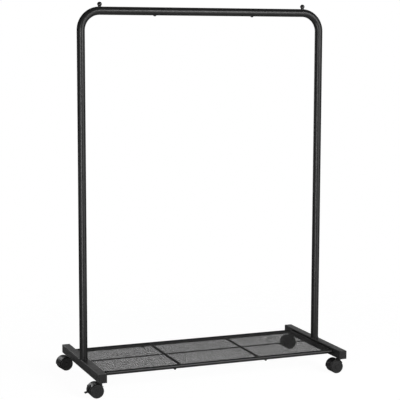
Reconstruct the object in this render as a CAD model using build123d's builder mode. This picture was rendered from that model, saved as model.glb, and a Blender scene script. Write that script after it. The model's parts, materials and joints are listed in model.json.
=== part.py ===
from build123d import *
import os
from math import cos, radians, sin

# A rolling clothes rack of black round steel tube, in millimetres.
# The origin lies on the floor, midway between the two uprights. +X runs along the hanging rail to the
# right-hand side, +Y points to the back and +Z points up. The casters trail towards -X.

# ---- Feet: two box tubes that run front to back ----
foot_width = 32.0
foot_height = 34.0
foot_wall = 1.5
foot_corner = 2.0
foot_length = 520.0
foot_underside = 61.5
cap_flange = 2.0
cap_plug_depth = 14.0
cap_fit = 0.2
cap_wall = 2.0
cap_inner_corner = 1.0
cap_edge_radius = 0.8

# ---- Uprights and hanging rail: one size of round tube ----
tube_radius = 15.9
tube_wall = 1.2
post_x = 510.0
stub_height = 78.0
post_length = 320.0
rail_above_foot = 1366.0
bend_radius = 76.0
middle_tube_length = 374.0

# ---- Swaged joints: one tube end is drawn down to slide into the next tube ----
swage_fit = 0.1
swage_shoulder = 3.0
post_spigot = 40.0
seam_chamfer = 0.5

# ---- Shelf: round rails, thin rods and a mesh laid on the rods ----
shelf_radius = 8.0
shelf_wall = 1.0
shelf_rail_y = 192.0
shelf_rail_below_foot_top = 15.0
shelf_seam_x = 168.0
shelf_spigot = 38.0
rod_radius = 2.5
rod_from_seam = 3.5
mesh_thickness = 0.8
end_rail_gap = 0.3
mesh_overlap = 0.8
mesh_seam_gap = 0.5
rod_below_rail_top = 3.0

# ---- Fasteners ----
post_screw_from_seam = 21.0
post_screw_radius = 3.0
post_screw_head_radius = 6.0
post_screw_head_height = 3.5
post_screw_length = 9.0
post_screw_hole_fit = 0.3
post_nut_size = 9.6
post_nut_height = 4.0
shelf_screw_from_seam = 27.0
shelf_screw_radius = 2.0
shelf_screw_head_radius = 5.2
shelf_screw_head_height = 4.2
shelf_screw_length = 6.0
shelf_screw_hole_fit = 0.25
shelf_nut_size = 5.8
shelf_nut_height = 2.6
nut_gap = 0.15
thread_fit = 0.05
knob_x = 434.0
knob_radius = 9.1
knob_centre_above_rail = 25.3
knob_neck_radius = 6.2
knob_saddle_fit = 0.05
knob_stud_radius = 3.0
knob_stud_depth = 9.0
rivet_nut_radius = 4.5
rivet_nut_depth = 11.0
rivet_flange_radius = 4.95
rivet_flange_thickness = 0.9
rivet_hole_fit = 0.1
rivet_recess_fit = 0.15

# ---- Casters: twin wheels under a hood that swivels on a threaded stem ----
stem_from_foot_end = 40.0
stem_radius = 4.0
stem_thread_height = 16.0
stem_collar_across_flats = 13.0
stem_collar_height = 4.0
stem_hole_fit = 0.5
stem_depth_in_hood = 26.0
weld_nut_height = 6.5
ring_radius = 4.8
ring_groove_radius = 3.2
ring_thickness = 1.0
ring_above_tip = 3.0
ring_opening = 2.0
ring_groove_fit = 0.1
ring_room_radius = 5.0
ring_room_fit = 0.3
wheel_radius = 27.0
wheel_inner_y = 7.0
wheel_outer_y = 26.5
wheel_rim = 3.5
wheel_disc = 4.0
wheel_hub_radius = 6.0
wheel_shoulder = 4.0
wheel_face_recess = 1.6
wheel_rim_step = 0.8
wheel_cap_radius = 9.0
trail = 18.0
axle_radius = 3.0
axle_end_inset = 4.5
axle_end_chamfer = 0.4
axle_hole_fit = 0.03
running_fit = 0.05
body_half_width = 6.4
body_disc_radius = 19.0
hood_inner_radius = 28.2
hood_outer_radius = 30.0
hood_half_width = 23.0
hood_front_angle = 32.0
hood_back_angle = 188.0
hood_top_gap = 0.4
hood_edge_radius = 1.2
stem_boss_radius = 8.0
stem_boss_height = 6.5

# ---- Brake lever: a short pedal at the back of two of the hoods ----
lever_half_width = 7.5
lever_slot_half_width = 8.0
lever_slot_inner_radius = 22.5
lever_slot_top_margin = 9.0
lever_slot_low_margin = 12.0
lever_inner_radius = 31.0
lever_outer_radius = 33.8
lever_top_angle = 138.0
lever_low_angle = 189.0
lever_pivot_angle = 146.0
lever_pivot_radius = 32.4
lever_boss_radius = 2.8
lever_tab_reach = 42.0
lever_tab_thickness = 4.6
lever_tab_half_width = 6.0
lever_tab_above_end = 2.0
lever_tab_tilt = 14.0
lug_radius = 3.6
lug_outer_y = 11.0
trunnion_radius = 1.5
trunnion_end_gap = 0.3

# ---- Worked out from the sizes above ----
foot_top = foot_underside + foot_height
foot_centre_z = foot_underside + foot_height / 2
foot_inner_x = post_x - foot_width / 2
foot_tube_half = foot_length / 2 - cap_flange
rail_z = foot_top + rail_above_foot
seam_heights = [foot_top + stub_height + post_length * n for n in range(4)]
middle_half = middle_tube_length / 2
tube_bore = tube_radius - tube_wall
shelf_z = foot_top - shelf_rail_below_foot_top
rod_z = shelf_z + shelf_radius - rod_below_rail_top - rod_radius
mesh_z = rod_z + rod_radius
end_rail_x = foot_inner_x - shelf_radius - end_rail_gap
stem_y = foot_length / 2 - stem_from_foot_end
collar_underside = foot_underside - stem_collar_height
stem_tip_z = collar_underside - stem_depth_in_hood
ring_z = stem_tip_z + ring_above_tip

sides = {"left": -1, "right": 1}
shelf_sides = {"front": -1, "rear": 1}
casters = {
    "front_left": (-post_x, -stem_y),
    "front_right": (post_x, -stem_y),
    "rear_left": (-post_x, stem_y),
    "rear_right": (post_x, stem_y),
}
braked_casters = ["front_left", "rear_right"]
# Degrees that each caster stands turned about its stem at rest.
caster_headings = {"front_left": 0.0, "front_right": 0.0, "rear_left": 7.0, "rear_right": 0.0}


def save(piece, name, turn_axis=Axis.Z, turn=0.0):
    """Turns a finished piece about an axis if asked, labels it and writes it to its own STEP file."""
    solid = piece.part.rotate(turn_axis, turn) if turn else piece.part
    solid.label = name
    export_step(solid, f"parts/{name}.step")


def downward(x, y, z):
    """A plane at a point, whose normal points down."""
    return Plane(origin=(x, y, z), x_dir=(1, 0, 0), z_dir=(0, 0, -1))


def upright_plane(x, y, z=0.0):
    """A plane at a point that faces the front, with its own x along +X and its own y along +Z."""
    return Plane(origin=(x, y, z), x_dir=(1, 0, 0), z_dir=(0, -1, 0))


def around_axle(radius, angle):
    """A point about the axle on a caster's side view, with the stem at x = 0 and the floor at y = 0."""
    return (
        -trail + radius * cos(radians(angle)),
        wheel_radius + radius * sin(radians(angle)),
    )


# ---- Tubes ----
def make_tube(plane, length, radius, wall, spigot, swaged_ends):
    """A round tube along the plane's normal; each swaged end is 0 for its start or 1 for its far end."""
    bore = radius - wall
    with BuildPart() as tube:
        with BuildSketch(plane):
            Circle(radius)
            Circle(bore, mode=Mode.SUBTRACT)
        extrude(amount=length)
        rims = tube.edges().filter_by(GeomType.CIRCLE)
        chamfer([rim for rim in rims if abs(rim.radius - radius) < 0.01], seam_chamfer)
        for end in swaged_ends:
            outward = 1 if end else -1
            with BuildSketch(plane.offset(end * length)):
                Circle(bore)
                Circle(bore - swage_fit - wall, mode=Mode.SUBTRACT)
            extrude(amount=-outward * swage_shoulder)
            with BuildSketch(plane.offset(end * length)):
                Circle(bore - swage_fit)
                Circle(bore - swage_fit - wall, mode=Mode.SUBTRACT)
            extrude(amount=outward * spigot)
    return tube


def drill_upward(tube, places, radius, depth):
    """Drills holes up into the underside of a tube."""
    with BuildPart() as drilled:
        add(tube.part)
        with Locations(*[downward(*place) for place in places]):
            Hole(radius, depth)
    return drilled


# ---- Feet ----
def make_foot(x):
    """A box tube along Y with two holes in its underside for the caster stems."""
    with BuildPart() as foot:
        with BuildSketch(upright_plane(x, foot_tube_half, foot_centre_z)):
            RectangleRounded(foot_width, foot_height, foot_corner)
            inside = (foot_width - 2 * foot_wall, foot_height - 2 * foot_wall)
            RectangleRounded(*inside, foot_corner - foot_wall, mode=Mode.SUBTRACT)
        extrude(amount=2 * foot_tube_half)
        with Locations(*[downward(x, y, foot_underside) for y in (-stem_y, stem_y)]):
            Hole(stem_radius + stem_hole_fit, foot_wall)
    return foot


def make_foot_caps():
    """Four plastic plugs, each with a flange that covers the end of a foot."""
    shrink = 2 * foot_wall + 2 * cap_fit
    inside = (foot_width - shrink, foot_height - shrink)
    hollow = (inside[0] - 2 * cap_wall, inside[1] - 2 * cap_wall)
    with BuildPart() as caps:
        for x in (-post_x, post_x):
            for side in (-1, 1):
                face = Plane(
                    origin=(x, side * foot_tube_half, foot_centre_z),
                    x_dir=(1, 0, 0),
                    z_dir=(0, side, 0),
                )
                with BuildSketch(face):
                    RectangleRounded(foot_width, foot_height, foot_corner)
                extrude(amount=cap_flange)
                with BuildSketch(face):
                    RectangleRounded(*inside, foot_corner - foot_wall)
                    RectangleRounded(*hollow, cap_inner_corner, mode=Mode.SUBTRACT)
                extrude(amount=-cap_plug_depth)
        for side in (-1, 1):
            end_faces = caps.faces().filter_by(Axis.Y).group_by(Axis.Y)[0 if side < 0 else -1]
            fillet(end_faces.edges(), cap_edge_radius)
    return caps


# ---- Hanging rail ----
def make_corner(side):
    """The bent tube at a top corner, with a screw hole under its end and a hole for the knob's nut."""
    with BuildPart() as corner:
        with BuildLine(Plane.XZ):
            leg = Line((side * post_x, seam_heights[3]), (side * post_x, rail_z - bend_radius))
            bend = TangentArc(leg @ 1, (side * (post_x - bend_radius), rail_z), tangent=leg % 1)
            Line(bend @ 1, (side * middle_half, rail_z))
        with BuildSketch(Plane(origin=(side * post_x, 0, seam_heights[3]))):
            Circle(tube_radius)
            Circle(tube_bore, mode=Mode.SUBTRACT)
        sweep()
        rims = corner.edges().filter_by(GeomType.CIRCLE)
        ends = [rim for rim in rims if abs(rim.radius - tube_radius) < 0.01 and rim.is_closed]
        low_end = min(ends, key=lambda rim: rim.center().Z)
        rail_end = min(ends, key=lambda rim: abs(rim.center().X))
        chamfer([low_end, rail_end], seam_chamfer)
        with Locations(downward(side * (middle_half + post_screw_from_seam), 0, rail_z - tube_radius)):
            Hole(post_screw_radius + post_screw_hole_fit, 2 * tube_wall)
        with Locations((side * knob_x, 0, rail_z + tube_radius)):
            Hole(rivet_nut_radius + rivet_hole_fit, 3 * tube_wall)
    return corner


def make_screws(places, radius, head_radius, head_height, length):
    """Screws put in from below, each with a domed head and a hexagon socket; places lie under the heads."""
    with BuildPart() as screws:
        for x, y, z in places:
            with BuildSketch(upright_plane(x, y, z)):
                with BuildLine():
                    top = Polyline((0, length), (radius, length), (radius, 0), (head_radius, 0))
                    rim = Line(top @ 1, (head_radius, -head_height * 0.25))
                    dome = ThreePointArc(
                        rim @ 1,
                        (head_radius * 0.72, -head_height * 0.85),
                        (head_radius * 0.4, -head_height),
                    )
                    Polyline(dome @ 1, (0, -head_height), (0, length))
                make_face()
            revolve(axis=Axis((x, y, z), (0, 0, 1)))
            with BuildSketch(downward(x, y, z - head_height)):
                RegularPolygon(radius * 0.7, 6)
            extrude(amount=-head_height * 0.6, mode=Mode.SUBTRACT)
    return screws


def make_square_nuts(places, size, height, bore):
    """Square nuts welded inside the swaged ends; places lie under the nuts."""
    with BuildPart() as nuts:
        for x, y, z in places:
            with BuildSketch(Plane(origin=(x, y, z))):
                Rectangle(size, size)
                Circle(bore, mode=Mode.SUBTRACT)
            extrude(amount=height)
    return nuts


def make_knob(x):
    """A ball on a short neck that fits the top of the rail, with a threaded stud below."""
    tube_top = rail_z + tube_radius
    with BuildPart() as knob:
        with Locations((x, 0, rail_z + knob_centre_above_rail)):
            Sphere(knob_radius)
        with BuildSketch(Plane(origin=(x, 0, rail_z + knob_centre_above_rail))):
            Circle(knob_neck_radius)
        extrude(amount=-(knob_centre_above_rail - tube_radius) - 2)
        with BuildSketch(Plane(origin=(x, 0, rail_z), z_dir=(1, 0, 0))):
            Circle(tube_radius + knob_saddle_fit)
        extrude(amount=3 * knob_radius, both=True, mode=Mode.SUBTRACT)
        recess_top = tube_top + rivet_flange_thickness + 0.2
        with BuildSketch(Plane(origin=(x, 0, recess_top))):
            Circle(rivet_flange_radius + rivet_recess_fit)
        extrude(amount=-knob_neck_radius, mode=Mode.SUBTRACT)
        with BuildSketch(Plane(origin=(x, 0, tube_top - knob_stud_depth))):
            Circle(knob_stud_radius)
        extrude(amount=knob_stud_depth + knob_stud_radius)
    return knob


def make_rivet_nuts():
    """Two rivet nuts set in the top of the rail, one for each knob's stud."""
    tube_top = rail_z + tube_radius
    with BuildPart() as nuts:
        for x in (-knob_x, knob_x):
            with BuildSketch(Plane(origin=(x, 0, tube_top))):
                Circle(rivet_flange_radius)
            extrude(amount=rivet_flange_thickness)
            with BuildSketch(Plane(origin=(x, 0, tube_top))):
                Circle(rivet_nut_radius)
            extrude(amount=-rivet_nut_depth)
            with BuildSketch(Plane(origin=(x, 0, tube_top))):
                Circle(knob_stud_radius + thread_fit)
            extrude(amount=rivet_nut_depth + 1, both=True, mode=Mode.SUBTRACT)
    return nuts


# ---- Shelf ----
def make_rods(ends):
    """Straight rods, each between two points."""
    with BuildPart() as rods:
        for start, finish in ends:
            run = Vector(*finish) - Vector(*start)
            with BuildSketch(Plane(origin=start, z_dir=run)):
                Circle(rod_radius)
            extrude(amount=run.length)
    return rods


def make_mesh_panel(low_x, high_x):
    """The envelope of one shelf mesh: a thin sheet that rests on the rods between the rails."""
    half_width = shelf_rail_y - shelf_radius + mesh_overlap
    with BuildPart() as panel:
        with BuildSketch(Plane(origin=((low_x + high_x) / 2, 0, mesh_z))):
            Rectangle(high_x - low_x, 2 * half_width)
        extrude(amount=mesh_thickness)
    return panel


# ---- Casters ----
def make_weld_nuts():
    """Hexagon nuts welded inside the feet, which the caster stems screw into."""
    with BuildPart() as nuts:
        for x, y in casters.values():
            with BuildSketch(Plane(origin=(x, y, foot_underside + foot_wall))):
                RegularPolygon(stem_collar_across_flats / 2, 6, major_radius=False)
                Circle(stem_radius + thread_fit, mode=Mode.SUBTRACT)
            extrude(amount=weld_nut_height)
    return nuts


def make_stems():
    """Threaded stems with a hexagon collar, and a plain pin below it that the hood turns on."""
    with BuildPart() as stems:
        for x, y in casters.values():
            with BuildSketch(Plane(origin=(x, y, stem_tip_z))):
                Circle(stem_radius)
            extrude(amount=foot_underside + stem_thread_height - stem_tip_z)
            with BuildSketch(Plane(origin=(x, y, collar_underside))):
                RegularPolygon(stem_collar_across_flats / 2, 6, major_radius=False)
            extrude(amount=stem_collar_height)
            with BuildSketch(Plane(origin=(x, y, ring_z - ring_groove_fit))):
                Circle(stem_radius + 1)
                Circle(ring_groove_radius, mode=Mode.SUBTRACT)
            extrude(amount=ring_thickness + 2 * ring_groove_fit, mode=Mode.SUBTRACT)
    return stems


def make_retaining_rings():
    """Open spring rings that sit in the stems' grooves and keep the hoods on."""
    with BuildPart() as rings:
        for x, y in casters.values():
            with BuildSketch(Plane(origin=(x, y, ring_z))):
                Circle(ring_radius)
                Circle(ring_groove_radius + running_fit, mode=Mode.SUBTRACT)
                with Locations((ring_radius, 0)):
                    Rectangle(2 * (ring_radius - ring_groove_radius), ring_opening, mode=Mode.SUBTRACT)
            extrude(amount=ring_thickness)
    return rings


def ring_sector(inner, outer, first_angle, last_angle):
    """A slice of a ring about the axle, in a caster's side view."""
    axle = around_axle(0, 0)
    with BuildSketch() as sector:
        with BuildLine():
            outside = CenterArc(axle, outer, first_angle, last_angle - first_angle)
            inside = CenterArc(axle, inner, first_angle, last_angle - first_angle)
            Line(outside @ 0, inside @ 0)
            Line(outside @ 1, inside @ 1)
        make_face()
    return sector.sketch


def make_hood(stem_x, y, braked):
    """The moulded caster body: a thick plate between the wheels, a curved hood and a boss for the stem."""
    view = upright_plane(stem_x, y)
    boss_top = collar_underside - hood_top_gap
    pivot = around_axle(lever_pivot_radius, lever_pivot_angle)
    with BuildPart() as hood:
        with BuildSketch(view):
            add(ring_sector(body_disc_radius - 1, hood_outer_radius, hood_front_angle, hood_back_angle))
            with Locations(around_axle(0, 0)):
                Circle(body_disc_radius)
            with Locations((0, (boss_top + wheel_radius) / 2)):
                Rectangle(1.8 * stem_boss_radius, boss_top - wheel_radius)
        extrude(amount=body_half_width, both=True)
        with BuildSketch(view):
            add(ring_sector(hood_inner_radius, hood_outer_radius, hood_front_angle, hood_back_angle))
        extrude(amount=hood_half_width, both=True)
        arcs = hood.edges().filter_by(GeomType.CIRCLE)
        side_arcs = [
            arc for arc in arcs
            if abs(abs(arc.center().Y - y) - hood_half_width) < 0.01 and arc.radius > hood_inner_radius + 1
        ]
        fillet(side_arcs, hood_edge_radius)
        with BuildSketch(Plane(origin=(stem_x, y, boss_top))):
            Circle(stem_boss_radius)
        extrude(amount=-stem_boss_height)
        if braked:
            with BuildSketch(view):
                slot_top = lever_top_angle - lever_slot_top_margin
                slot_end = hood_back_angle + lever_slot_low_margin
                add(ring_sector(lever_slot_inner_radius, lever_outer_radius, slot_top, slot_end))
            extrude(amount=lever_slot_half_width, both=True, mode=Mode.SUBTRACT)
            for side in (-1, 1):
                with BuildSketch(upright_plane(stem_x, y + side * lug_outer_y)):
                    with Locations(pivot):
                        Circle(lug_radius)
                extrude(amount=side * (lug_outer_y - lever_slot_half_width))
            with BuildSketch(view):
                with Locations(pivot):
                    Circle(trunnion_radius + running_fit)
            extrude(amount=lug_outer_y + 1, both=True, mode=Mode.SUBTRACT)
        with BuildSketch(view):
            with Locations(around_axle(0, 0)):
                Circle(axle_radius + axle_hole_fit)
        extrude(amount=body_half_width + 1, both=True, mode=Mode.SUBTRACT)
        with BuildSketch(Plane(origin=(stem_x, y, stem_tip_z - 1))):
            Circle(stem_radius + running_fit)
        extrude(amount=boss_top - stem_tip_z + 2, mode=Mode.SUBTRACT)
        with BuildSketch(Plane(origin=(stem_x, y, ring_z - ring_room_fit))):
            Circle(ring_room_radius)
        extrude(amount=ring_thickness + 2 * ring_room_fit, mode=Mode.SUBTRACT)
    return hood


def make_axle(stem_x, y):
    """The steel pin that both wheels turn on."""
    with BuildPart() as axle:
        with BuildSketch(upright_plane(stem_x, y)):
            with Locations(around_axle(0, 0)):
                Circle(axle_radius)
        extrude(amount=wheel_outer_y - axle_end_inset, both=True)
        chamfer(axle.edges(), axle_end_chamfer)
    return axle


def make_wheel(stem_x, y, side):
    """A cup-shaped wheel: a rim with a rounded tread, an outer disc and a hub with a blind bore."""
    axle_line = Axis((stem_x - trail, y, wheel_radius), (0, 1, 0))
    section_plane = Plane(origin=(stem_x - trail, y, wheel_radius), x_dir=(0, side, 0), z_dir=(side, 0, 0))
    with BuildPart() as wheel:
        with BuildSketch(section_plane):
            with BuildLine():
                inner = wheel_inner_y
                outer = wheel_outer_y
                face = outer - wheel_face_recess
                disc_back = outer - wheel_disc
                bore = axle_radius + running_fit
                tread = Polyline(
                    (disc_back, 0),
                    (disc_back, bore),
                    (inner, bore),
                    (inner, wheel_hub_radius),
                    (disc_back, wheel_hub_radius),
                    (disc_back, wheel_radius - wheel_rim),
                    (inner, wheel_radius - wheel_rim),
                    (inner, wheel_radius - 1),
                    (inner + 1, wheel_radius),
                    (outer - wheel_shoulder, wheel_radius),
                )
                shoulder = ThreePointArc(
                    tread @ 1,
                    (outer - 0.4 * wheel_shoulder, wheel_radius - 0.37 * wheel_shoulder),
                    (outer - wheel_rim_step, wheel_radius - wheel_shoulder),
                )
                Polyline(
                    shoulder @ 1,
                    (face, wheel_radius - wheel_shoulder - 1),
                    (face, wheel_cap_radius),
                    (outer, wheel_cap_radius - 1),
                    (outer, 0),
                    (disc_back, 0),
                )
            make_face()
        revolve(axis=axle_line)
    return wheel


def make_brake_lever(stem_x, y):
    """A curved pedal that hangs on two trunnions behind the wheels, with a tab for the toe."""
    view = upright_plane(stem_x, y)
    pivot = around_axle(lever_pivot_radius, lever_pivot_angle)
    reach = lever_tab_reach - lever_inner_radius
    tab_middle = around_axle(lever_inner_radius + reach / 2, lever_low_angle - lever_tab_above_end)
    with BuildPart() as lever:
        with BuildSketch(view):
            add(ring_sector(lever_inner_radius, lever_outer_radius, lever_top_angle, lever_low_angle))
            with Locations(pivot):
                Circle(lever_boss_radius)
        extrude(amount=lever_half_width, both=True)
        with BuildSketch(view):
            with Locations(Location(tab_middle, lever_tab_tilt)):
                SlotOverall(reach + lever_tab_thickness, lever_tab_thickness)
        extrude(amount=lever_tab_half_width, both=True)
        with BuildSketch(view):
            with Locations(pivot):
                Circle(trunnion_radius)
        extrude(amount=lug_outer_y - trunnion_end_gap, both=True)
    return lever


# ---- Build and write every piece ----
os.makedirs("parts", exist_ok=True)

for name, side in sides.items():
    x = side * post_x
    save(make_foot(x), f"{name}_foot_tube")
    stub = make_tube(Plane(origin=(x, 0, foot_top)), stub_height, tube_radius, tube_wall, post_spigot, [1])
    save(stub, f"{name}_post_stub")
    for level, seam in zip(("lower", "middle", "upper"), seam_heights):
        start = Plane(origin=(x, 0, seam))
        post = make_tube(start, post_length, tube_radius, tube_wall, post_spigot, [1])
        save(post, f"{name}_{level}_post")
    save(make_corner(side), f"{name}_corner_tube")
    save(make_knob(side * knob_x), f"{name}_ball_knob")
save(make_foot_caps(), "foot_end_caps")
save(make_rivet_nuts(), "knob_rivet_nuts")

# The middle of the hanging rail slides into both corner tubes and is screwed from below.
spigot_bore = tube_bore - swage_fit - tube_wall
nut_drop = (spigot_bore**2 - (post_nut_size / 2) ** 2) ** 0.5
rail_screw_x = middle_half + post_screw_from_seam
rail_start = Plane(origin=(-middle_half, 0, rail_z), z_dir=(1, 0, 0))
middle = make_tube(rail_start, middle_tube_length, tube_radius, tube_wall, post_spigot, [0, 1])
wall_places = [(x, 0, rail_z - tube_bore) for x in (-rail_screw_x, rail_screw_x)]
drilled_middle = drill_upward(middle, wall_places, post_screw_radius + post_screw_hole_fit, 3 * tube_wall)
save(drilled_middle, "top_middle_tube")
head_places = [(x, 0, rail_z - tube_radius) for x in (-rail_screw_x, rail_screw_x)]
top_screws = make_screws(
    head_places,
    post_screw_radius,
    post_screw_head_radius,
    post_screw_head_height,
    post_screw_length,
)
save(top_screws, "top_joint_screws")
nut_places = [(x, 0, rail_z - nut_drop + nut_gap) for x in (-rail_screw_x, rail_screw_x)]
nut_bore = post_screw_radius + thread_fit
save(make_square_nuts(nut_places, post_nut_size, post_nut_height, nut_bore), "top_joint_nuts")

# The middle shelf rails slide into the outer ones in the same way.
shelf_bore = shelf_radius - shelf_wall
shelf_spigot_bore = shelf_bore - swage_fit - shelf_wall
shelf_nut_drop = (shelf_spigot_bore**2 - (shelf_nut_size / 2) ** 2) ** 0.5
shelf_hole_radius = shelf_screw_radius + shelf_screw_hole_fit
shelf_screw_x = shelf_seam_x + shelf_screw_from_seam
shelf_head_places = []
shelf_nut_places = []
for name, side in shelf_sides.items():
    y = side * shelf_rail_y
    outer_length = foot_inner_x - shelf_seam_x
    starts = {"left": -foot_inner_x, "right": shelf_seam_x}
    for end, start_x in starts.items():
        plane = Plane(origin=(start_x, y, shelf_z), z_dir=(1, 0, 0))
        outer_rail = make_tube(plane, outer_length, shelf_radius, shelf_wall, 0, [])
        hole = [(sides[end] * shelf_screw_x, y, shelf_z - shelf_radius)]
        rail = drill_upward(outer_rail, hole, shelf_hole_radius, 2 * shelf_wall)
        save(rail, f"{name}_{end}_rail")
    plane = Plane(origin=(-shelf_seam_x, y, shelf_z), z_dir=(1, 0, 0))
    inner_rail = make_tube(plane, 2 * shelf_seam_x, shelf_radius, shelf_wall, shelf_spigot, [0, 1])
    holes = [(x, y, shelf_z - shelf_bore) for x in (-shelf_screw_x, shelf_screw_x)]
    rail = drill_upward(inner_rail, holes, shelf_hole_radius, 2.5 * shelf_wall)
    save(rail, f"{name}_middle_rail")
    shelf_head_places += [(x, y, shelf_z - shelf_radius) for x in (-shelf_screw_x, shelf_screw_x)]
    shelf_nut_places += [(x, y, shelf_z - shelf_nut_drop + nut_gap) for x in (-shelf_screw_x, shelf_screw_x)]
shelf_screws = make_screws(
    shelf_head_places,
    shelf_screw_radius,
    shelf_screw_head_radius,
    shelf_screw_head_height,
    shelf_screw_length,
)
save(shelf_screws, "shelf_joint_screws")
shelf_nut_bore = shelf_screw_radius + thread_fit
shelf_nuts = make_square_nuts(shelf_nut_places, shelf_nut_size, shelf_nut_height, shelf_nut_bore)
save(shelf_nuts, "shelf_joint_nuts")

rod_end_y = shelf_rail_y - shelf_radius
for name, side in sides.items():
    plane = Plane(origin=(side * end_rail_x, -rod_end_y, shelf_z), z_dir=(0, 1, 0))
    save(make_tube(plane, 2 * rod_end_y, shelf_radius, shelf_wall, 0, []), f"{name}_end_rail")
    rod_places = [side * (shelf_seam_x - rod_from_seam), side * (shelf_seam_x + rod_from_seam)]
    ends = [((x, -rod_end_y, rod_z), (x, rod_end_y, rod_z)) for x in rod_places]
    save(make_rods(ends), f"{name}_cross_rods")

inner_rod_end = shelf_seam_x - rod_from_seam - rod_radius
outer_rod_start = shelf_seam_x + rod_from_seam + rod_radius
outer_rod_end = end_rail_x - shelf_radius
mesh_inner_end = shelf_seam_x - mesh_seam_gap
mesh_outer_start = shelf_seam_x + mesh_seam_gap
mesh_outer_end = end_rail_x - shelf_radius + mesh_overlap
sections = {
    "left": (-outer_rod_end, -outer_rod_start, -mesh_outer_end, -mesh_outer_start),
    "middle": (-inner_rod_end, inner_rod_end, -mesh_inner_end, mesh_inner_end),
    "right": (outer_rod_start, outer_rod_end, mesh_outer_start, mesh_outer_end),
}
for name, (rod_low, rod_high, mesh_low, mesh_high) in sections.items():
    save(make_rods([((rod_low, 0, rod_z), (rod_high, 0, rod_z))]), f"{name}_centre_rod")
    save(make_mesh_panel(mesh_low, mesh_high), f"{name}_mesh_panel")

save(make_weld_nuts(), "caster_weld_nuts")
save(make_stems(), "caster_stems")
save(make_retaining_rings(), "stem_retaining_rings")
for name, (x, y) in casters.items():
    pieces = {
        "hood": make_hood(x, y, name in braked_casters),
        "axle": make_axle(x, y),
        "front_wheel": make_wheel(x, y, -1),
        "rear_wheel": make_wheel(x, y, 1),
    }
    if name in braked_casters:
        pieces["brake_lever"] = make_brake_lever(x, y)
    for piece_name, piece in pieces.items():
        save(piece, f"{name}_{piece_name}", Axis((x, y, 0), (0, 0, 1)), caster_headings[name])
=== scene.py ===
import json
from math import cos, pi, radians, sin

import bpy
from mathutils import Matrix, Vector


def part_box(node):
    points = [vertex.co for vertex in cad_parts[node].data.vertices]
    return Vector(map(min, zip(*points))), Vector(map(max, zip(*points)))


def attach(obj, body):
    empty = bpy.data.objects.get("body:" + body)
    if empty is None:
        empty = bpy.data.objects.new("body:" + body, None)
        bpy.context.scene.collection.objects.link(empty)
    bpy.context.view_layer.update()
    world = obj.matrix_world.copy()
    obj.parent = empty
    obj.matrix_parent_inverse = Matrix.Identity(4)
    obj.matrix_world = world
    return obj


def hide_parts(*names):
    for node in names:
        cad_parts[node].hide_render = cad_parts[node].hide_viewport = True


# A rolling clothes rack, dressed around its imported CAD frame. Lengths are in metres and angles in degrees.
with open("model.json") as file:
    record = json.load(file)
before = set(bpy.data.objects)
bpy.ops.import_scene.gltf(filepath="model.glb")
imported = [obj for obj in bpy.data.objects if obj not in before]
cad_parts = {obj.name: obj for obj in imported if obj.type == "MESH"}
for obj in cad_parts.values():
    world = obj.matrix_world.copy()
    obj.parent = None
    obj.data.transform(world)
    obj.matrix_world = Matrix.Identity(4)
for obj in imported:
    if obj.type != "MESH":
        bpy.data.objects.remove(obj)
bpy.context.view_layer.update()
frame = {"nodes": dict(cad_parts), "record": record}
mm = 0.001

foot_low, foot_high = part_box("left_foot_tube")
foot_top = foot_high.z

# ---- Camera ----
view_azimuth = -21.75
view_elevation = 7.0
view_roll = 0.165
view_distance = 5.123
aim_above_feet = 0.629
view_lens = 113.8
view_shift_x = -0.0089
view_shift_y = -0.0108
sensor_width = 36.0

# ---- Studio ----
room_level = 0.035
floor_half = 6.0
floor_drop = 0.2 * mm
floor_fade_start = 0.9
floor_fade_end = 2.0
floor_seen = 0.16
floor_mirrored = 0.80
floor_glow = 0.96
# Name, bearing to the right of the camera, reach, level, level aimed at, width, height and power in watts
softboxes = [
    ("key", -10, 4.2, 0.4, 0.7, 0.55, 3.0, 60),
    ("side", 58, 4.0, 0.9, 0.7, 3.4, 3.8, 47),
    ("high", 43, 4.0, 2.2, 1.3, 1.6, 1.3, 46),
    ("rear_left", -138, 3.6, 1.0, 0.1, 1.2, 1.4, 10),
    ("rear", 180, 3.6, 1.0, 0.1, 2.4, 0.8, 3.2),
    ("low_left", -50, 3.6, 0.5, 0.1, 1.4, 0.8, 4),
]

# ---- Finishes ----
# Noise lies mostly between these two values
noise_low = 0.3
noise_high = 0.7
coat_roughness = 0.25
plate_line_height = 0.02 * mm
# Dark grey, light grey, lowest and highest roughness, and height of the grain
steel_finishes = {
    "black_powder_coat": (0.018, 0.025, 0.28, 0.36, 0.04 * mm),
    "black_mesh": (0.014, 0.020, 0.46, 0.56, 0.03 * mm),
    "black_screw_steel": (0.012, 0.020, 0.28, 0.40, 0.01 * mm),
}
# The same, and the weight of a clear coat
plastic_finishes = {
    "black_gloss_knob": (0.010, 0.014, 0.16, 0.24, 0.002 * mm, 0.5),
    "black_cap_plastic": (0.016, 0.024, 0.45, 0.58, 0.02 * mm, 0.0),
    "caster_hood_plastic": (0.018, 0.026, 0.30, 0.40, 0.006 * mm, 0.2),
    "caster_wheel_plastic": (0.020, 0.030, 0.40, 0.56, 0.02 * mm, 0.0),
    "caster_lever_plastic": (0.016, 0.024, 0.38, 0.48, 0.02 * mm, 0.0),
}

# ---- Expanded mesh ----
mesh_long_way = 8.0 * mm
mesh_short_way = 4.3 * mm
strand_width = 0.84 * mm
sheet_thickness = 0.3 * mm
sheet_lift = 0.1 * mm
border_width = 3.0 * mm
border_height = 0.6 * mm
border_sink = 0.05 * mm

# ---- Weld beads ----
bead_section_points = 8
bead_least_points = 24
bead_points_per_ripple = 4
bead_ripple_depth = 0.16
post_bead = 1.5 * mm
post_bead_outset = 0.2 * mm
post_bead_ripples = 26
rail_bead = 1.0 * mm
rail_bead_outset = 0.1 * mm
rail_bead_inset = 0.2 * mm
rail_bead_ripples = 16
cross_rod_bead = 0.7 * mm
centre_rod_bead = 0.6 * mm
rod_bead_inset = 0.3 * mm
rod_bead_ripples = 8


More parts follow.
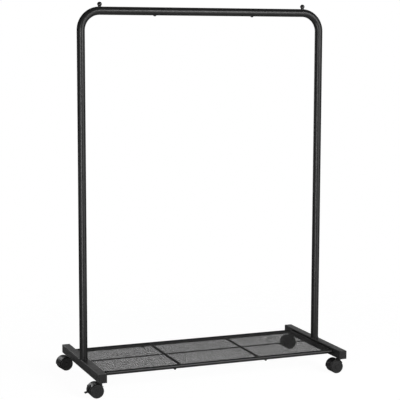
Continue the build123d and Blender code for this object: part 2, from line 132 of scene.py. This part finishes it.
# ---- Making the camera and studio ----
def grey(level):
    """A colour with the same red, green and blue."""
    return (level, level, level)


def make_camera():
    """The photograph's view: from the front, a little to the left and above the shelf."""
    azimuth, elevation, roll = radians(view_azimuth), radians(view_elevation), radians(view_roll)
    target = Vector((0, 0, foot_top + aim_above_feet))
    back = Vector((sin(azimuth) * cos(elevation), -cos(azimuth) * cos(elevation), sin(elevation)))
    level_right = Vector((cos(azimuth), sin(azimuth), 0))
    level_up = back.cross(level_right)
    right = cos(roll) * level_right + sin(roll) * level_up
    up = cos(roll) * level_up - sin(roll) * level_right
    data = bpy.data.cameras.new("camera")
    data.sensor_width = sensor_width
    data.lens = view_lens
    data.shift_x = view_shift_x
    data.shift_y = view_shift_y
    camera = bpy.data.objects.new("camera", data)
    bpy.context.scene.collection.objects.link(camera)
    turned = Matrix((right, up, back)).transposed().to_4x4()
    camera.matrix_world = Matrix.Translation(target + back * view_distance) @ turned
    bpy.context.scene.camera = camera


def add_softbox(name, bearing, reach, level, aim_level, width, height, power):
    """A rectangular soft light around the rack, turned to the rack's middle at a level."""
    turn = radians(view_azimuth + bearing)
    place = Vector((reach * sin(turn), -reach * cos(turn), level))
    aim = Vector((0, 0, aim_level))
    data = bpy.data.lights.new(name, "AREA")
    data.shape = "RECTANGLE"
    data.size = width
    data.size_y = height
    data.energy = power
    light = bpy.data.objects.new(name, data)
    bpy.context.scene.collection.objects.link(light)
    light.location = place
    light.rotation_euler = (aim - place).to_track_quat("-Z", "Y").to_euler()
    light.visible_camera = False


def make_world():
    """White behind the rack, and a dim room around it, so that the tubes' sides stay dark."""
    world = bpy.data.worlds.new("studio")
    world.use_nodes = True
    tree = world.node_tree
    tree.nodes.clear()
    output = tree.nodes.new("ShaderNodeOutputWorld")
    mix = tree.nodes.new("ShaderNodeMixShader")
    path = tree.nodes.new("ShaderNodeLightPath")
    room = tree.nodes.new("ShaderNodeBackground")
    room.inputs["Color"].default_value = (*grey(room_level), 1)
    backdrop = tree.nodes.new("ShaderNodeBackground")
    backdrop.inputs["Color"].default_value = (1, 1, 1, 1)
    tree.links.new(path.outputs["Is Camera Ray"], mix.inputs["Fac"])
    tree.links.new(room.outputs["Background"], mix.inputs[1])
    tree.links.new(backdrop.outputs["Background"], mix.inputs[2])
    tree.links.new(mix.outputs["Shader"], output.inputs["Surface"])
    bpy.context.scene.world = world


def make_floor():
    """A wide pale floor, a hair below the wheels, that fades into the white behind it."""
    mesh = bpy.data.meshes.new("floor")
    corners = [(-floor_half, -floor_half, 0), (floor_half, -floor_half, 0)]
    corners += [(floor_half, floor_half, 0), (-floor_half, floor_half, 0)]
    mesh.from_pydata(corners, [], [(0, 1, 2, 3)])
    floor = bpy.data.objects.new("floor", mesh)
    floor.location.z = -floor_drop
    bpy.context.scene.collection.objects.link(floor)
    material = bpy.data.materials.new("floor")
    material.use_nodes = True
    tree = material.node_tree
    tree.nodes.clear()
    output = tree.nodes.new("ShaderNodeOutputMaterial")
    paper = tree.nodes.new("ShaderNodeBsdfDiffuse")
    paper.inputs["Color"].default_value = (*grey(floor_seen), 1)
    dull = tree.nodes.new("ShaderNodeBsdfDiffuse")
    dull.inputs["Color"].default_value = (*grey(floor_mirrored), 1)
    glow = tree.nodes.new("ShaderNodeEmission")
    glow.inputs["Strength"].default_value = floor_glow
    clear = tree.nodes.new("ShaderNodeBsdfTransparent")
    both = tree.nodes.new("ShaderNodeAddShader")
    tree.links.new(paper.outputs["BSDF"], both.inputs[0])
    tree.links.new(glow.outputs["Emission"], both.inputs[1])
    path = tree.nodes.new("ShaderNodeLightPath")
    seen = tree.nodes.new("ShaderNodeMixShader")
    tree.links.new(path.outputs["Is Camera Ray"], seen.inputs["Fac"])
    tree.links.new(dull.outputs["BSDF"], seen.inputs[1])
    tree.links.new(both.outputs["Shader"], seen.inputs[2])
    place = tree.nodes.new("ShaderNodeTexCoord")
    distance = tree.nodes.new("ShaderNodeVectorMath")
    distance.operation = "LENGTH"
    tree.links.new(place.outputs["Object"], distance.inputs[0])
    fade = tree.nodes.new("ShaderNodeMapRange")
    fade.inputs["From Min"].default_value = floor_fade_start
    fade.inputs["From Max"].default_value = floor_fade_end
    tree.links.new(distance.outputs["Value"], fade.inputs["Value"])
    mix = tree.nodes.new("ShaderNodeMixShader")
    tree.links.new(fade.outputs["Result"], mix.inputs["Fac"])
    tree.links.new(seen.outputs["Shader"], mix.inputs[1])
    tree.links.new(clear.outputs["BSDF"], mix.inputs[2])
    tree.links.new(mix.outputs["Shader"], output.inputs["Surface"])
    mesh.materials.append(material)


# ---- Making the materials ----
def new_material(name):
    """A material with one Principled shader, and its node tree."""
    material = bpy.data.materials.new(name)
    material.use_nodes = True
    tree = material.node_tree
    tree.nodes.clear()
    output = tree.nodes.new("ShaderNodeOutputMaterial")
    shader = tree.nodes.new("ShaderNodeBsdfPrincipled")
    tree.links.new(shader.outputs["BSDF"], output.inputs["Surface"])
    return material, tree, shader


def add_noise(tree, scale, detail, stretch=(1, 1, 1)):
    """Noise in the rack's own space; scale is features per metre."""
    place = tree.nodes.new("ShaderNodeTexCoord")
    mapping = tree.nodes.new("ShaderNodeMapping")
    mapping.inputs["Scale"].default_value = stretch
    noise = tree.nodes.new("ShaderNodeTexNoise")
    noise.inputs["Scale"].default_value = scale
    noise.inputs["Detail"].default_value = detail
    tree.links.new(place.outputs["Object"], mapping.inputs["Vector"])
    tree.links.new(mapping.outputs["Vector"], noise.inputs["Vector"])
    return noise.outputs["Fac"]


def add_blend(tree, noise, dark, light):
    """A colour that goes from dark to light as the noise rises."""
    ramp = tree.nodes.new("ShaderNodeValToRGB")
    stops = [(noise_low, dark), (noise_high, light)]
    for element, (position, colour) in zip(ramp.color_ramp.elements, stops):
        element.position = position
        element.color = (*colour, 1)
    tree.links.new(noise, ramp.inputs["Fac"])
    return ramp.outputs["Color"]


def add_range(tree, noise, low, high):
    """A number that goes from low to high as the noise rises."""
    node = tree.nodes.new("ShaderNodeMapRange")
    node.inputs["From Min"].default_value = noise_low
    node.inputs["From Max"].default_value = noise_high
    node.inputs["To Min"].default_value = low
    node.inputs["To Max"].default_value = high
    tree.links.new(noise, node.inputs["Value"])
    return node.outputs["Result"]


def add_bump(tree, shader, height, distance, under=None):
    """Raises the surface by a height texture, on top of another bump if one is given."""
    bump = tree.nodes.new("ShaderNodeBump")
    bump.inputs["Distance"].default_value = distance
    bump.inputs["Strength"].default_value = 1.0
    tree.links.new(height, bump.inputs["Height"])
    if under is not None:
        tree.links.new(under, bump.inputs["Normal"])
    tree.links.new(bump.outputs["Normal"], shader.inputs["Normal"])
    return bump.outputs["Normal"]


def coated_steel(name, dark, light, rough_low, rough_high, grain):
    """Powder coat: a nearly even black with a fine orange-peel grain."""
    material, tree, shader = new_material(name)
    tone = add_noise(tree, scale=18.0, detail=4.0)
    tree.links.new(add_blend(tree, tone, grey(dark), grey(light)), shader.inputs["Base Color"])
    patches = add_noise(tree, scale=60.0, detail=2.0)
    tree.links.new(add_range(tree, patches, rough_low, rough_high), shader.inputs["Roughness"])
    peel = add_bump(tree, shader, add_noise(tree, scale=520.0, detail=2.0), grain)
    add_bump(tree, shader, add_noise(tree, scale=2600.0, detail=1.0), 0.4 * grain, under=peel)
    return material


def moulded_plastic(name, dark, light, rough_low, rough_high, grain, coat):
    """Injection-moulded nylon with soft flow marks and a fine spark-eroded grain."""
    material, tree, shader = new_material(name)
    flow = add_noise(tree, scale=70.0, detail=3.0, stretch=(1, 1, 0.4))
    tree.links.new(add_blend(tree, flow, grey(dark), grey(light)), shader.inputs["Base Color"])
    patches = add_noise(tree, scale=240.0, detail=3.0)
    tree.links.new(add_range(tree, patches, rough_low, rough_high), shader.inputs["Roughness"])
    add_bump(tree, shader, add_noise(tree, scale=3000.0, detail=1.0), grain)
    shader.inputs["Coat Weight"].default_value = coat
    shader.inputs["Coat Roughness"].default_value = coat_roughness
    return material


def plated_steel(name):
    """Zinc plate: a grey metal with a faint mottle and drawn lines along its length."""
    material, tree, shader = new_material(name)
    spangle = add_noise(tree, scale=320.0, detail=3.0)
    colour = add_blend(tree, spangle, (0.42, 0.43, 0.45), (0.60, 0.61, 0.62))
    tree.links.new(colour, shader.inputs["Base Color"])
    lines = add_noise(tree, scale=900.0, detail=2.0, stretch=(1, 1, 0.05))
    tree.links.new(add_range(tree, lines, 0.28, 0.42), shader.inputs["Roughness"])
    add_bump(tree, shader, lines, plate_line_height)
    shader.inputs["Metallic"].default_value = 1.0
    return material


def make_materials():
    """One finish for each material slot of the record."""
    made = {name: coated_steel(name, *finish) for name, finish in steel_finishes.items()}
    made["zinc_plated_steel"] = plated_steel("zinc_plated_steel")
    for name, finish in plastic_finishes.items():
        made[name] = moulded_plastic(name, *finish)
    return made


def paint(piece, slot):
    """Gives a piece the finish of a material slot."""
    piece.data.materials.clear()
    piece.data.materials.append(materials[slot])


# ---- Making the mesh pieces ----
def make_piece(name, points, faces, body, slot, smooth=False):
    """A mesh piece that rides on a body and is painted from a material slot."""
    mesh = bpy.data.meshes.new(name)
    mesh.from_pydata(points, [], faces)
    mesh.validate()
    mesh.update()
    if smooth:
        mesh.shade_smooth()
    piece = bpy.data.objects.new(name, mesh)
    bpy.context.scene.collection.objects.link(piece)
    paint(piece, slot)
    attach(piece, body)
    return piece


def add_bar(points, faces, line, half_width, low, high):
    """Adds a flat bar along a line of (x, y) points, between two heights, as wide along y."""
    start = len(points)
    for x, y in line:
        near, far = y - half_width, y + half_width
        points += [(x, near, low), (x, far, low), (x, far, high), (x, near, high)]
    for n in range(len(line) - 1):
        a = start + 4 * n
        for side in range(4):
            after = (side + 1) % 4
            faces.append((a + side, a + 4 + side, a + 4 + after, a + after))
    last = start + 4 * (len(line) - 1)
    faces.append((start, start + 1, start + 2, start + 3))
    faces.append((last + 3, last + 2, last + 1, last))


def add_block(points, faces, low, high):
    """Adds a plain rectangular strip between two corners."""
    middle_y = (low[1] + high[1]) / 2
    line = [(low[0], middle_y), (high[0], middle_y)]
    add_bar(points, faces, line, (high[1] - low[1]) / 2, low[2], high[2])


def make_expanded_mesh(name, node):
    """Flattened expanded metal: zigzag strands that meet at their knuckles, inside a plain border."""
    low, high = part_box(node)
    bottom = low.z + sheet_lift
    top = bottom + sheet_thickness
    points, faces = [], []
    width, depth = high.x - low.x - border_width, high.y - low.y - border_width
    steps = round(width / (mesh_long_way / 2))
    step = width / steps
    rows = round(depth / (mesh_short_way / 2))
    row = depth / rows
    half = strand_width / 2 * (1 + (row / step) ** 2) ** 0.5
    for n in range(rows):
        near = low.y + border_width / 2 + n * row
        ends = (near + half, near + row - half)
        line = [(low.x + border_width / 2 + i * step, ends[(i + n) % 2]) for i in range(steps + 1)]
        add_bar(points, faces, line, half, bottom, top)
    rim_low, rim_high = bottom - border_sink, bottom + border_height
    for y in (low.y, high.y - border_width):
        add_block(points, faces, (low.x, y, rim_low), (high.x, y + border_width, rim_high))
    for x in (low.x, high.x - border_width):
        add_block(points, faces, (x, low.y, rim_low), (x + border_width, high.y, rim_high))
    piece = make_piece(name, points, faces, "frame", "black_mesh")
    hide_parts(node)


def add_bead(points, faces, centre, axis, radius, size, ripples):
    """Adds a weld bead: a rippled ring about an axis."""
    around = max(bead_least_points, bead_points_per_ripple * ripples)
    axis = Vector(axis).normalized()
    across = axis.orthogonal().normalized()
    beside = axis.cross(across)
    start = len(points)
    for i in range(around):
        angle = 2 * pi * i / around
        out = across * cos(angle) + beside * sin(angle)
        thick = size * (1 + bead_ripple_depth * sin(ripples * angle))
        for j in range(bead_section_points):
            turn = 2 * pi * j / bead_section_points
            point = Vector(centre) + out * (radius + thick * cos(turn)) + axis * thick * sin(turn)
            points.append(tuple(point))
    for i in range(around):
        here = start + i * bead_section_points
        there = start + (i + 1) % around * bead_section_points
        for j in range(bead_section_points):
            after = (j + 1) % bead_section_points
            faces.append((here + j, there + j, there + after, here + after))


def make_post_welds():
    """The beads that join the two stubs to the feet, ground flush with the feet's sides."""
    points, faces = [], []
    for side in ("left", "right"):
        low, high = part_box(f"{side}_post_stub")
        side_low, side_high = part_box(f"{side}_foot_tube")
        centre = ((low.x + high.x) / 2, 0, foot_top)
        radius = (high.x - low.x) / 2 + post_bead_outset
        start = len(points)
        add_bead(points, faces, centre, (0, 0, 1), radius, post_bead, post_bead_ripples)
        points[start:] = [(min(max(x, side_low.x), side_high.x), y, z) for x, y, z in points[start:]]
    make_piece("post_foot_welds", points, faces, "frame", "black_powder_coat", smooth=True)


def make_shelf_welds():
    """The beads that join the shelf's rails to the feet, and its rods to the rails."""
    points, faces = [], []
    for row in ("front", "rear"):
        for side, outward in (("left", -1), ("right", 1)):
            low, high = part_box(f"{row}_{side}_rail")
            radius = (high.y - low.y) / 2
            end = low.x if outward < 0 else high.x
            centre = (end - outward * rail_bead_inset, (low.y + high.y) / 2, low.z + radius)
            ring = radius + rail_bead_outset
            add_bead(points, faces, centre, (1, 0, 0), ring, rail_bead, rail_bead_ripples)
    rod_low, rod_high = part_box("middle_centre_rod")
    rod_z = (rod_low.z + rod_high.z) / 2
    rod_radius = (rod_high.z - rod_low.z) / 2
    for side in ("left", "right"):
        low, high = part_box(f"{side}_cross_rods")
        for x in (low.x + rod_radius, high.x - rod_radius):
            for y in (low.y + rod_bead_inset, high.y - rod_bead_inset):
                centre = (x, y, rod_z)
                add_bead(points, faces, centre, (0, 1, 0), rod_radius, cross_rod_bead, rod_bead_ripples)
    for section in ("left", "middle", "right"):
        low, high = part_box(f"{section}_centre_rod")
        for x in (low.x + rod_bead_inset, high.x - rod_bead_inset):
            centre = (x, 0, rod_z)
            add_bead(points, faces, centre, (1, 0, 0), rod_radius, centre_rod_bead, rod_bead_ripples)
    make_piece("shelf_welds", points, faces, "frame", "black_powder_coat", smooth=True)


# ---- Build ----
bpy.context.scene.view_settings.view_transform = "Standard"
make_camera()
make_world()
make_floor()
for softbox in softboxes:
    add_softbox(*softbox)

materials = make_materials()
for subpart in frame["record"]["subparts"]:
    paint(frame["nodes"][subpart["node"]], subpart["material_slot"])

for section in ("left", "middle", "right"):
    make_expanded_mesh(f"{section}_expanded_mesh", f"{section}_mesh_panel")
make_post_welds()
make_shelf_welds()
